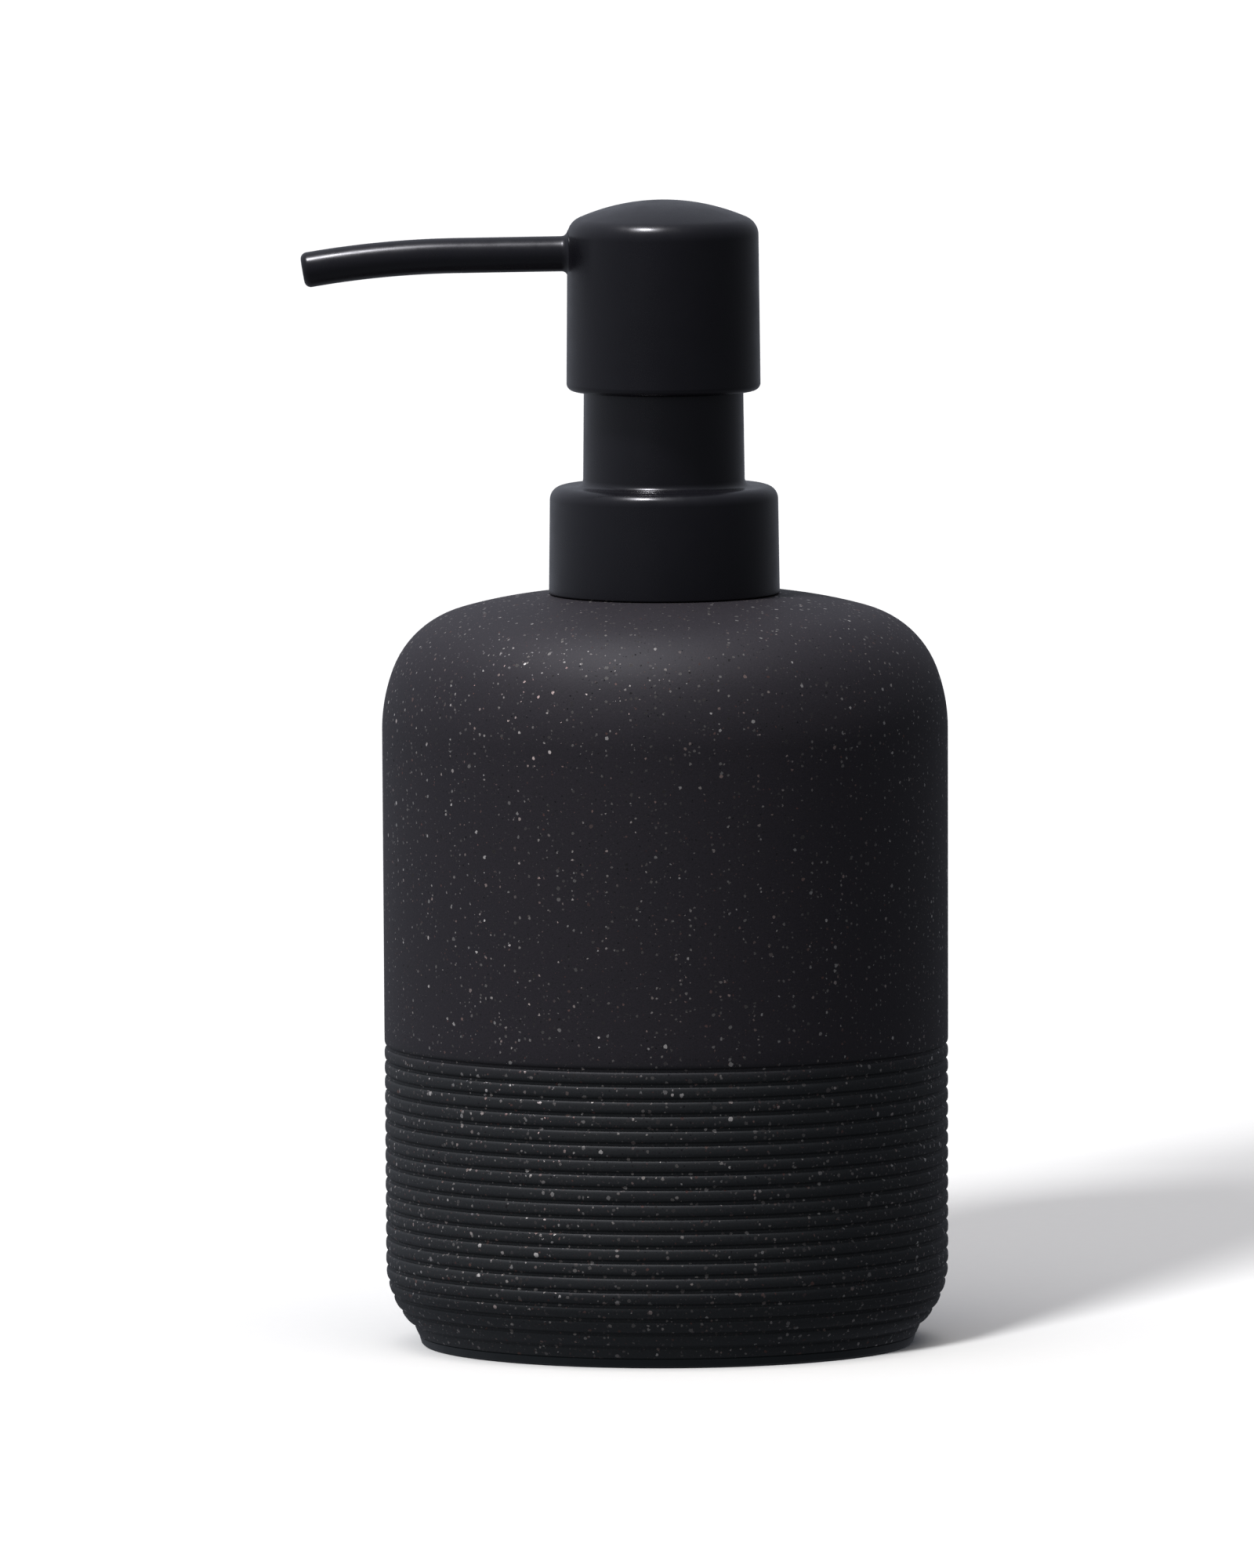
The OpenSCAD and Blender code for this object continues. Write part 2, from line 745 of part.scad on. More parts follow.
module valve_rod() {
    color("#d9dcd8")
        difference() {
            lathe([
                [0, disc_bottom - spigot_len],
                [spigot_r - 0.5, disc_bottom - spigot_len],
                [spigot_r, disc_bottom - spigot_len + 0.5],
                [spigot_r, disc_bottom],
                [disc_r, disc_bottom],
                [disc_r, cone_top - cone_h],
                [waist_r + cone_rate * cone_h, cone_top - cone_h],
                [waist_r, cone_top],
                [waist_r, stem_bottom + 0.8],
                [stem_bore_r, stem_bottom + 1.2],
                [stem_bore_r, rod_top],
                [0, rod_top]
            ]);
            for (a = [0 : 90 : 270])
                rotate([0, 0, a])
                    translate([slot_core_r, -slot_w / 2, stem_bottom])
                        cube([stem_r, slot_w, rod_top - stem_bottom + cut]);
        }
}

module stem() {
    bead_top = stem_bead_z + stem_bead_h;
    color("#26272a")
        lathe([
            [stem_bore_r, stem_bottom],
            [stem_r, stem_bottom],
            [stem_r, stem_bead_z - stem_bead],
            [stem_r + stem_bead, stem_bead_z],
            [stem_r + stem_bead, bead_top],
            [stem_r, bead_top + stem_bead],
            [stem_r, stem_top - seat_gap],
            [stem_bore_r, stem_top - seat_gap]
        ]);
}

module head_core() {
    bore_r = stem_r + run_gap;
    bead_top = stem_bead_z + stem_bead_h;
    color("#2f3033")
        difference() {
            union() {
                cylinder_between(socket_r, core_foot, core_disc_z + core_disc_t / 2);
                cylinder_between(core_disc_r, core_disc_z, core_disc_z + core_disc_t);
                spout_frame()
                    rotate([0, -90, 0])
                        cylinder(r = channel_wall_r, h = core_disc_r - 0.25, $fn = round_fn);
                for (a = [90, 0, -90])
                    rotate([0, 0, a])
                        translate([socket_r - 0.5, -core_rib_t / 2, core_rib_z])
                            cube([core_disc_r - socket_r, core_rib_t, core_disc_z - core_rib_z + 0.2]);
            }
            lathe([
                [0, core_foot - cut],
                [bore_r, core_foot - cut],
                [bore_r, stem_bead_z - stem_bead],
                [bore_r + stem_bead, stem_bead_z],
                [bore_r + stem_bead, bead_top],
                [bore_r, bead_top + stem_bead],
                [bore_r, stem_top],
                [stem_chamber_r, stem_top],
                [stem_chamber_r, core_disc_z],
                [0, core_disc_z]
            ]);
            spout_frame()
                rotate([0, -90, 0])
                    cylinder(r = channel_r, h = core_disc_r, $fn = round_fn);
            spout_frame()
                rotate([0, -90, 0])
                    translate([0, 0, liner_start])
                        cylinder(r = spout_bore_r, h = core_disc_r, $fn = round_fn);
        }
}

module head_shell() {
    outside = concat(
        [[0, head_bottom], [head_r - head_edge_r, head_bottom]],
        arc(head_r - head_edge_r, head_bottom + head_edge_r, head_edge_r, -80, 0),
        arc(head_top_r - dome_edge_r, edge_c_z, dome_edge_r, 0, edge_a),
        arc(0, dome_c_z, dome_r, edge_a, 90)
    );
    cavity = concat(
        [[0, head_bottom - cut], [head_bore_r, head_bottom - cut]],
        arc(0, dome_c_z, dome_r - head_wall, dome_a, 90)
    );
    root_depth = 1.1;    // how deep the spout's root reaches into the head's wall
    flare_from = head_r - root_depth;
    flare_to = head_top_r + spout_flare;
    flare_r = spout_r + spout_flare;
    flare = concat(
        [[0, flare_from], [flare_r, flare_from]],
        arc(flare_r, flare_to, spout_flare, 270, 180),
        [[0, flare_to]]
    );
    color("#1b1c1f")
        difference() {
            union() {
                lathe(outside);
                spout_straight_rod(spout_r, flare_from - fit_gap);
                spout_curved_rod(spout_r);
                spout_end_frame()
                    lathe(concat(
                        [[0, -spout_lap], [spout_r, -spout_lap]],
                        arc(spout_r - spout_edge_r, spout_nose - spout_edge_r, spout_edge_r, 0, 90),
                        [[0, spout_nose]]
                    ));
                spout_frame()
                    rotate([0, -90, 0])
                        lathe(flare);
            }
            lathe(cavity);
            spout_rod(spout_bore_r, head_bore_r - 1, spout_nose + cut);
        }
}

module spout_liner() {
    color("#8f9294")
        difference() {
            spout_rod(liner_r, liner_start + liner_gap, spout_nose - liner_recess);
            spout_rod(liner_bore_r, liner_start - cut, spout_nose + cut);
        }
}

bottle_body();
base_plug();
foot_pad();
neck_insert();
neck_seal();
collar();
closure_nut();
gasket();
pump_housing();
chaplet();
ball_cage();
check_ball();
return_spring();
dip_tube();
piston();
valve_rod();
stem();
head_core();
head_shell();
spout_liner();
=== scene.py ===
"""Looks of a pump soap dispenser: a cast stone-effect bottle and a satin black pump.

All lengths are in millimetres until mm() turns them into metres.
"""
import json
import math

import bpy
import bmesh
from mathutils import Matrix, Vector

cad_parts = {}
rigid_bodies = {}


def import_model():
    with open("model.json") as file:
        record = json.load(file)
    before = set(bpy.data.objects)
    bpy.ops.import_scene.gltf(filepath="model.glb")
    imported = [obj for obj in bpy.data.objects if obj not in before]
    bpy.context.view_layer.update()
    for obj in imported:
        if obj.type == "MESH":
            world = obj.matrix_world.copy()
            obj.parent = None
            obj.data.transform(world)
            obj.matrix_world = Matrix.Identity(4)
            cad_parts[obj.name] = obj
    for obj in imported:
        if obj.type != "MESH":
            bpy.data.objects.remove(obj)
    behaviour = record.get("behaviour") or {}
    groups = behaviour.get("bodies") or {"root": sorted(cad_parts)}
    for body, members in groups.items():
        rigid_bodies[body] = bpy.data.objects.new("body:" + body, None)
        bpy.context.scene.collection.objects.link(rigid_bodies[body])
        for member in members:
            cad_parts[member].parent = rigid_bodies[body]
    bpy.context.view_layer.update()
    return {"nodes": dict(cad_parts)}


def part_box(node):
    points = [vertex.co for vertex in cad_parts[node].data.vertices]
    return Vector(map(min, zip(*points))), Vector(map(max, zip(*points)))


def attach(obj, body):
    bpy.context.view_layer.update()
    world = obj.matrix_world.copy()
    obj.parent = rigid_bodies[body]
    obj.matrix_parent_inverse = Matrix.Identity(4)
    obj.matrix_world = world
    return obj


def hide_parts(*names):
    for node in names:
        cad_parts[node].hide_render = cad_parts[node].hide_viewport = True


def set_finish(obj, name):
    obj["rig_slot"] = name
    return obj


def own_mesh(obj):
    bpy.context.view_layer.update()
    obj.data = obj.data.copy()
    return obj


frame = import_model()

MM = 0.001
AXIS_POINT = (0.0, 0.0, 0.0)
UP = (0.0, 0.0, 1.0)


def mm(*values):
    """Millimetres to metres."""
    return tuple(v * MM for v in values)


def top_of(node):
    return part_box(node)[1].z / MM


def foot_of(node):
    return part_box(node)[0].z / MM


def radius_of(node):
    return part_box(node)[1].y / MM


# ---------------------------------------------------------------- sizes
LATHE_STEPS = 240          # segments round the bottle and the pump
ARC_STEPS = 10             # points on a rounded edge

# bottle
BOTTLE_TOP = top_of("bottle_body")
BOTTLE_FOOT = foot_of("bottle_body")
BOTTLE_R = radius_of("bottle_body")
BOTTLE_DRAFT = 0.2
BOTTLE_WALL = 4.5
CORNER_R = 12.1
BAND_H = 1.0
CORNER_RISE = 8.95
STEP_Z = BOTTLE_FOOT + BAND_H
CORNER_Z = STEP_Z + CORNER_RISE
LOWER_R = BOTTLE_R - BOTTLE_DRAFT
STEP_R = LOWER_R - CORNER_R + math.sqrt(CORNER_R ** 2 - CORNER_RISE ** 2)
FOOT_SLOPE = 0.39
FOOT_R = STEP_R - FOOT_SLOPE * BAND_H
FOOT_EDGE = 0.15
OPENING_R = STEP_R - 5.3
SHOULDER_TURNS = (0.0, 21.2, 74.0, 86.3)     # where the shoulder's three arcs meet, in degrees
SHOULDER_R = (22.9, 13.1)
SEAT_DROP = 0.05
RIB_TOP = 40.9
RIB_PITCH = 2.0
# One groove, from its middle outwards: distance along the wall and depth
GROOVE = ((0.0, 0.45), (0.12, 0.42), (0.21, 0.32), (0.3, 0.17), (0.39, 0.085), (0.55, 0.035), (0.78, 0.008))

# pump
COLLAR_R = radius_of("collar")
COLLAR_FOOT = foot_of("collar")
COLLAR_TOP = 117.1
COLLAR_CEILING = 115.7
TOWER_TOP = top_of("collar")
TOWER_R = 11.0
TOWER_BORE = 9.3
HEAD_R = radius_of("head_shell")
HEAD_FOOT = foot_of("head_shell")
HEAD_TOP = top_of("head_shell")
HEAD_WALL = 1.85
HEAD_DRAFT = 0.2
HEAD_TOP_R = HEAD_R - HEAD_DRAFT
DOME_R = 28.5
DOME_EDGE = 2.6
DOME_Z = HEAD_TOP - DOME_R
HEAD_EDGE_Z = DOME_Z + math.sqrt((DOME_R - DOME_EDGE) ** 2 - (HEAD_TOP_R - DOME_EDGE) ** 2)

# spout
SPOUT_R = 2.4
SPOUT_BORE = 1.55
SPOUT_Z = HEAD_FOOT + 18.82
SPOUT_SLOPE = math.radians(0.76)
SPOUT_STRAIGHT = 28.0
SPOUT_CURVE_R = 130.0
SPOUT_CURVE = 19.5 / SPOUT_CURVE_R
SPOUT_NOSE = 1.6
SPOUT_EDGE = 0.9
SPOUT_FLARE = 0.8
SPOUT_SIDES = 72
STRAIGHT_STEPS = 12
BEND_STEPS = 24
FLARE_FROM = HEAD_R - 0.2   # where the flare starts, before it is wrapped round the head
FLARE_SINK = 0.02           # how deep its edge lies in the head's side

# inside the pump
WIRE_R = 0.4
SPRING_R = 4.0
SPRING_TURNS = 8
SPRING_FOOT = foot_of("return_spring")
SPRING_LENGTH = top_of("return_spring") - SPRING_FOOT


# ---------------------------------------------------------------- modelling helpers
def start_editing(piece):
    """Only this piece is selected and in edit mode, with nothing selected inside it."""
    if bpy.context.object and bpy.context.object.mode != "OBJECT":
        bpy.ops.object.mode_set(mode="OBJECT")
    bpy.ops.object.select_all(action="DESELECT")
    piece.select_set(True)
    bpy.context.view_layer.objects.active = piece
    bpy.ops.object.mode_set(mode="EDIT")
    bpy.ops.mesh.select_all(action="DESELECT")


def stop_editing():
    bpy.ops.object.mode_set(mode="OBJECT")


def new_point(name, x, z):
    """A new piece that is one point on the XZ plane, open for editing with the point selected."""
    if bpy.context.object and bpy.context.object.mode != "OBJECT":
        stop_editing()
    bpy.ops.object.select_all(action="DESELECT")
    bpy.ops.mesh.primitive_plane_add(size=MM, location=AXIS_POINT)
    piece = bpy.context.object
    piece.name = name
    piece.data.name = name
    bpy.ops.object.mode_set(mode="EDIT")
    bpy.ops.mesh.select_all(action="SELECT")
    bpy.ops.mesh.merge(type="CENTER")
    bpy.ops.transform.translate(value=mm(x, 0, z))
    return piece


def arc(cx, cz, r, a0, a1, steps=ARC_STEPS):
    """Points of an arc in degrees, both ends included."""
    turns = [math.radians(a0 + (a1 - a0) * i / steps) for i in range(steps + 1)]
    return [(cx + r * math.cos(t), cz + r * math.sin(t)) for t in turns]


def rounded(corners, steps=5):
    """An outline through corners (r, z, fillet), with each fillet drawn as an arc."""
    points = []
    for i, (x, z, fillet) in enumerate(corners):
        if not fillet:
            points.append((x, z))
            continue
        here = Vector((x, z))
        back = Vector(corners[i - 1][:2]) - here
        on = Vector(corners[(i + 1) % len(corners)][:2]) - here
        back.normalize()
        on.normalize()
        half = back.angle(on) / 2
        reach = fillet / math.tan(half)
        middle = here + (back + on).normalized() * fillet / math.sin(half)
        a, b = here + back * reach - middle, here + on * reach - middle
        sweep = math.atan2(a.x * b.y - a.y * b.x, a.dot(b))
        for k in range(steps + 1):
            t = sweep * k / steps
            points.append((middle.x + a.x * math.cos(t) - a.y * math.sin(t),
                           middle.y + a.x * math.sin(t) + a.y * math.cos(t)))
    return points


def lathe(name, points, steps=LATHE_STEPS, closed=True):
    """Draws an outline point by point, then spins it about the pump's axis."""
    clean = [points[0]]
    for p in points[1:]:
        if math.dist(p, clean[-1]) > 0.004:
            clean.append(p)
    piece = new_point(name, *clean[0])
    for (x0, z0), (x1, z1) in zip(clean, clean[1:]):
        bpy.ops.mesh.extrude_vertices_move(TRANSFORM_OT_translate={"value": mm(x1 - x0, 0, z1 - z0)})
    bpy.ops.mesh.select_all(action="SELECT")
    if closed:
        bpy.ops.mesh.select_mode(type="VERT")
        shape = bmesh.from_edit_mesh(piece.data)
        ends = [v for v in shape.verts if len(v.link_edges) == 1]
        bpy.ops.mesh.select_all(action="DESELECT")
        for v in ends:
            v.select = True
        shape.select_flush_mode()
        bmesh.update_edit_mesh(piece.data)
        bpy.ops.mesh.edge_face_add()
        bpy.ops.mesh.select_all(action="SELECT")
    bpy.ops.mesh.spin(steps=steps, angle=2 * math.pi, center=AXIS_POINT, axis=UP, use_auto_merge=True)
    bpy.ops.mesh.select_all(action="SELECT")
    bpy.ops.mesh.remove_doubles(threshold=0.0005 * MM)
    bpy.ops.mesh.normals_make_consistent(inside=False)
    stop_editing()
    return piece


def smooth(piece, degrees=35):
    bpy.ops.object.select_all(action="DESELECT")
    piece.select_set(True)
    bpy.context.view_layer.objects.active = piece
    bpy.ops.object.shade_smooth_by_angle(angle=math.radians(degrees), keep_sharp_edges=False)


def modify(piece, kind, **settings):
    """Adds a modifier, sets it up and applies it."""
    bpy.ops.object.select_all(action="DESELECT")
    piece.select_set(True)
    bpy.context.view_layer.objects.active = piece
    modifier = piece.modifiers.new(kind.lower(), kind)
    for key, value in settings.items():
        setattr(modifier, key, value)
    bpy.ops.object.modifier_apply(modifier=modifier.name)


def settle(piece, body, slot, *nodes):
    """The finished piece rides on its body and stands for its CAD nodes."""
    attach(piece, body)
    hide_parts(*nodes)
    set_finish(piece, slot)


# ---------------------------------------------------------------- bottle
def belly(z):
    """Radius of the bottle's outside below the shoulder, without its grooves."""
    if z < CORNER_Z:
        return LOWER_R - CORNER_R + math.sqrt(CORNER_R ** 2 - (CORNER_Z - z) ** 2)
    return LOWER_R + BOTTLE_DRAFT * (z - CORNER_Z) / (SHOULDER_Z - CORNER_Z)


def shoulder_arcs():
    """Centre and radius of the shoulder's three arcs, each tangent to the last."""
    a = [math.radians(t) for t in SHOULDER_TURNS]
    low, mid = SHOULDER_R
    low_x = BOTTLE_R - low
    mid_x = low_x + (low - mid) * math.cos(a[1])
    top = (mid_x + mid * math.cos(a[2]) - COLLAR_R) / (math.cos(a[2]) - math.cos(a[3]))
    top_x = mid_x + (mid - top) * math.cos(a[2])
    z0 = (BOTTLE_TOP - SEAT_DROP - low * math.sin(a[1]) - mid * (math.sin(a[2]) - math.sin(a[1]))
          - top * (math.sin(a[3]) - math.sin(a[2])))
    mid_z = z0 + (low - mid) * math.sin(a[1])
    top_z = mid_z + (mid - top) * math.sin(a[2])
    return z0, ((low_x, z0, low), (mid_x, mid_z, mid), (top_x, top_z, top))


SHOULDER_Z, SHOULDER_ARCS = shoulder_arcs()


def shoulder(inset, last, steps):
    points = []
    for (x, z, r), a0, a1 in zip(SHOULDER_ARCS, SHOULDER_TURNS, SHOULDER_TURNS[1:2] + SHOULDER_TURNS[2:3] + (last,)):
        points += arc(x, z, r - inset, a0, a1, steps)
    return points


def make_bottle():
    outside = [(FOOT_R - FOOT_EDGE, BOTTLE_FOOT), (FOOT_R, BOTTLE_FOOT + FOOT_EDGE), (STEP_R, STEP_Z)]
    count = int((RIB_TOP - STEP_Z) / RIB_PITCH) + 1
    half = [(-d, depth) for d, depth in reversed(GROOVE)] + [(d, depth) for d, depth in GROOVE[1:]]
    for k in reversed(range(count)):
        for d, depth in half:
            z = RIB_TOP - k * RIB_PITCH + d
            if z > STEP_Z + 0.05:
                outside.append((belly(z) - depth, z))
    outside += [(belly(z), z) for z in (44, 52, 60, 68, 76)]
    outside += shoulder(0, SHOULDER_TURNS[-1], 12)

    thread_r = 13.7
    counterbore = thread_r + 0.55
    mouth = thread_r - 1.1
    ledge = BOTTLE_TOP - 1.55
    mouth_foot = BOTTLE_TOP - 8.6
    boss = mouth + 5.4
    top_x, _, top_r = SHOULDER_ARCS[2]
    inner_last = math.degrees(math.acos((boss - top_x) / (top_r - BOTTLE_WALL)))
    neck = [(counterbore + 0.6, BOTTLE_TOP, 0), (counterbore, BOTTLE_TOP, 0.15), (counterbore, ledge, 0),
            (mouth, ledge, 0.2), (mouth, mouth_foot, 0.3), (boss, mouth_foot, 0)]
    low = math.degrees(math.acos((OPENING_R - LOWER_R + CORNER_R) / (CORNER_R - BOTTLE_WALL)))
    inside = list(reversed(shoulder(BOTTLE_WALL, inner_last, 6)))
    inside += arc(LOWER_R - CORNER_R, CORNER_Z, CORNER_R - BOTTLE_WALL, 0, -low, 8)
    inside += [(OPENING_R, BOTTLE_FOOT)]
    piece = lathe("bottle", outside + rounded(neck, 3) + inside)
    smooth(piece, 40)
    settle(piece, "bottle", "stone_body", "bottle_body")
    return piece


def make_foot():
    """The closing plug: the stepped ring that shows below the bottle, its floor and its spigot."""
    proud = foot_of("base_plug")
    floor_z = 1.0
    rim = FOOT_R - FOOT_SLOPE * (BOTTLE_FOOT - proud)
    spigot = OPENING_R - 0.05
    pad = OPENING_R - 1.6 + 0.2
    top = top_of("base_plug")
    piece = lathe("foot_ring", rounded([
        (0, floor_z, 0), (pad, floor_z, 0.1), (pad, proud, 0.15), (rim, proud, 0.3),
        (FOOT_R - FOOT_EDGE, BOTTLE_FOOT - FOOT_EDGE, 0), (FOOT_R - 2 * FOOT_EDGE, BOTTLE_FOOT, 0),
        (spigot, BOTTLE_FOOT, 0), (spigot, top, 0.4), (spigot - 2.5, top, 0.4),
        (spigot - 2.5, floor_z + 2, 0.8), (0, floor_z + 2, 0)]), closed=False)
    smooth(piece, 40)
    settle(piece, "bottle", "base_plastic", "base_plug")
    return piece


# ---------------------------------------------------------------- pump
def make_collar():
    """Collar and tower in one moulding."""
    side_top = COLLAR_R - 0.2
    tower_top_r = TOWER_R - 0.2
    bore = COLLAR_R - 0.9
    piece = lathe("collar_tower", rounded([
        (bore, COLLAR_FOOT, 0.1), (COLLAR_R, COLLAR_FOOT, 0.18), (side_top, COLLAR_TOP, 1.8),
        (TOWER_R, COLLAR_TOP, 1.0), (tower_top_r, TOWER_TOP, 0.35), (TOWER_BORE, TOWER_TOP, 0.2),
        (TOWER_BORE, COLLAR_CEILING, 0), (bore, COLLAR_CEILING, 0.3)], 8))
    smooth(piece, 40)
    settle(piece, "closure", "black_plastic", "collar")
    return piece


def in_spout(along, up=0.0):
    """A point of the spout's own frame (distance out from the pump's axis, height above it) in the part's x and z."""
    c, s = math.cos(SPOUT_SLOPE), math.sin(SPOUT_SLOPE)
    return -along * c - up * s, SPOUT_Z - along * s + up * c


def extrude_out(direction, length):
    bpy.ops.mesh.extrude_region_move(TRANSFORM_OT_translate={"value": direction * length * MM})


def scale_ring(share, x, z):
    bpy.ops.transform.resize(value=(share, share, share), center_override=mm(x, 0, z))


def spout_rod(name, radius, start, past, nose=0.0, flare=0.0, sides=SPOUT_SIDES):
    """A rod along the spout: a disc is extruded out, spun round the bend and extruded to the tip.
    nose rounds the tip's edge, and flare widens the root where it meets the head."""
    if bpy.context.object and bpy.context.object.mode != "OBJECT":
        stop_editing()
    bpy.ops.object.select_all(action="DESELECT")
    x, z = in_spout(start)
    bpy.ops.mesh.primitive_circle_add(vertices=sides, radius=(radius + flare) * MM, fill_type="NGON",
                                      location=mm(x, 0, z), rotation=(0, -math.pi / 2 - SPOUT_SLOPE, 0))
    piece = bpy.context.object
    piece.name = name
    piece.data.name = name
    bpy.ops.object.transform_apply(location=True, rotation=True, scale=True)
    bpy.ops.object.mode_set(mode="EDIT")
    bpy.ops.mesh.select_all(action="SELECT")
    out = Vector((-math.cos(SPOUT_SLOPE), 0, -math.sin(SPOUT_SLOPE)))
    along = start
    if flare:
        extrude_out(out, FLARE_FROM - start)
        along, r = FLARE_FROM, radius + flare
        for k in range(1, ARC_STEPS + 1):
            t = math.radians(90 * k / ARC_STEPS)
            next_along = FLARE_FROM + flare * (1 - math.cos(t))
            next_r = radius + flare * (1 - math.sin(t))
            extrude_out(out, next_along - along)
            scale_ring(next_r / r, *in_spout(next_along))
            along, r = next_along, next_r
    step = (SPOUT_STRAIGHT - along) / STRAIGHT_STEPS
    for _ in range(STRAIGHT_STEPS):
        extrude_out(out, step)
    cx, cz = in_spout(SPOUT_STRAIGHT, -SPOUT_CURVE_R)
    bpy.ops.mesh.spin(steps=BEND_STEPS, angle=SPOUT_CURVE, center=mm(cx, 0, cz), axis=(0, 1, 0))
    tilt = SPOUT_SLOPE + SPOUT_CURVE
    out = Vector((-math.cos(tilt), 0, -math.sin(tilt)))
    end = Vector(mm(cx, 0, cz)) + Vector((-math.sin(tilt), 0, math.cos(tilt))) * SPOUT_CURVE_R * MM
    extrude_out(out, past - nose)
    r, d = radius, 0.0
    for k in range(1, ARC_STEPS + 1) if nose else ():
        t = math.radians(90 * k / ARC_STEPS)
        next_r, next_d = radius - nose + nose * math.cos(t), nose * math.sin(t)
        extrude_out(out, next_d - d)
        here = (end + out * (past - nose + next_d) * MM) / MM
        scale_ring(next_r / r, here.x, here.z)
        r, d = next_r, next_d
    bpy.ops.mesh.select_all(action="SELECT")
    bpy.ops.mesh.remove_doubles(threshold=0.0005 * MM)
    bpy.ops.mesh.normals_make_consistent(inside=False)
    stop_editing()
    return piece


def head_radius(z):
    """Radius of the head's outside, up to the dome's edge."""
    if z > HEAD_EDGE_Z:
        return HEAD_TOP_R - DOME_EDGE + math.sqrt(max(0.0, DOME_EDGE ** 2 - (z - HEAD_EDGE_Z) ** 2))
    return HEAD_R - HEAD_DRAFT * (z - HEAD_FOOT) / (HEAD_EDGE_Z - HEAD_FOOT)


def seat_flare(spout):
    """Wraps the spout's flared root round the head, so that its edge lies on the head's curved side."""
    for v in spout.data.vertices:
        x, y, z = (c / MM for c in v.co)
        along = math.hypot(x, z - SPOUT_Z)
        if x < -FLARE_FROM - SPOUT_FLARE - 0.2 or along > FLARE_FROM + SPOUT_FLARE:
            continue
        side = math.sqrt(head_radius(z) ** 2 - y ** 2)
        share = min(1.0, max(0.0, 1 - (along - FLARE_FROM) / SPOUT_FLARE))
        v.co.x += (FLARE_FROM - side + FLARE_SINK) * share * MM


def cut_or_join(piece, other, operation):
    """Joins another solid to a piece or cuts it out, and removes the other."""
    modify(piece, "BOOLEAN", operation=operation, object=other, solver="EXACT")
    bpy.data.objects.remove(other)


def make_head():
    """Domed head, skirt and spout in one moulding."""
    bore = HEAD_R - HEAD_WALL
    dome_a = math.degrees(math.acos(bore / (DOME_R - HEAD_WALL)))
    edge_a = math.degrees(math.atan2(HEAD_EDGE_Z - DOME_Z, HEAD_TOP_R - DOME_EDGE))
    rings = [HEAD_FOOT + 1.0 + 0.5 * k for k in range(int((HEAD_EDGE_Z - HEAD_FOOT - 1.0) / 0.5) + 1)]
    points = (arc(0, DOME_Z, DOME_R - HEAD_WALL, 90, dome_a, 8)
              + rounded([(bore, HEAD_FOOT + 8, 0), (bore, HEAD_FOOT, 0.2), (HEAD_R, HEAD_FOOT, 1.0),
                         (HEAD_R, HEAD_FOOT + 8, 0)], 8)[:-1]
              + [(head_radius(z), z) for z in rings]
              + arc(HEAD_TOP_R - DOME_EDGE, HEAD_EDGE_Z, DOME_EDGE, 0, edge_a, 12)
              + arc(0, DOME_Z, DOME_R, edge_a, 90, 16))
    piece = lathe("head", points, closed=False)
    spout = spout_rod("spout_outside", SPOUT_R, HEAD_R - 1.2, SPOUT_NOSE, SPOUT_EDGE, SPOUT_FLARE)
    seat_flare(spout)
    cut_or_join(piece, spout, "UNION")
    cut_or_join(piece, spout_rod("spout_bore", SPOUT_BORE, bore - 1, SPOUT_NOSE + 1), "DIFFERENCE")
    smooth(piece, 35)
    settle(piece, "head", "black_plastic", "head_shell")
    return piece


def coil_height(t):
    """Height of the spring's wire after t turns: one closed turn at each end, evenly open between."""
    closed = 2.1 * WIRE_R
    if t < 1:
        return WIRE_R + closed * t
    if t > SPRING_TURNS - 1:
        return SPRING_LENGTH - WIRE_R - closed * (SPRING_TURNS - t)
    return WIRE_R + closed + (SPRING_LENGTH - 2 * WIRE_R - 2 * closed) * (t - 1) / (SPRING_TURNS - 2)


def make_spring():
    """The return spring: its wire's path drawn point by point, then given a round section."""
    turns = [k / 36 for k in range(36 * SPRING_TURNS + 1)]
    path = [Vector((SPRING_R * math.cos(2 * math.pi * t), SPRING_R * math.sin(2 * math.pi * t),
                    SPRING_FOOT + coil_height(t))) for t in turns]
    piece = new_point("spring", path[0].x, path[0].z)
    for a, b in zip(path, path[1:]):
        bpy.ops.mesh.extrude_vertices_move(TRANSFORM_OT_translate={"value": (b - a) * MM})
    stop_editing()
    bpy.ops.object.convert(target="CURVE")
    piece = bpy.context.object
    piece.data.bevel_depth = WIRE_R * MM
    piece.data.bevel_resolution = 4
    piece.data.use_fill_caps = True
    bpy.ops.object.convert(target="MESH")
    piece = bpy.context.object
    start_editing(piece)
    bpy.ops.mesh.select_all(action="SELECT")
    bpy.ops.mesh.remove_doubles(threshold=0.001 * MM)
    bpy.ops.mesh.normals_make_consistent(inside=False)
    stop_editing()
    smooth(piece, 50)
    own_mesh(piece)
    settle(piece, "pump", "spring_steel", "return_spring")
    return piece


# ---------------------------------------------------------------- material helpers
def linear(hex_colour):
    """An sRGB hex colour as linear RGBA."""
    parts = [int(hex_colour[i:i + 2], 16) / 255 for i in (1, 3, 5)]
    return tuple(c / 12.92 if c <= 0.04045 else ((c + 0.055) / 1.055) ** 2.4 for c in parts) + (1.0,)


def add(tree, kind, sockets=None, **settings):
    """Adds a node, sets its settings, and sets or links its sockets."""
    node = tree.nodes.new("ShaderNode" + kind)
    for key, value in settings.items():
        setattr(node, key, value)
    for key, value in (sockets or {}).items():
        if isinstance(value, bpy.types.NodeSocket):
            tree.links.new(value, node.inputs[key])
        else:
            node.inputs[key].default_value = value
    return node


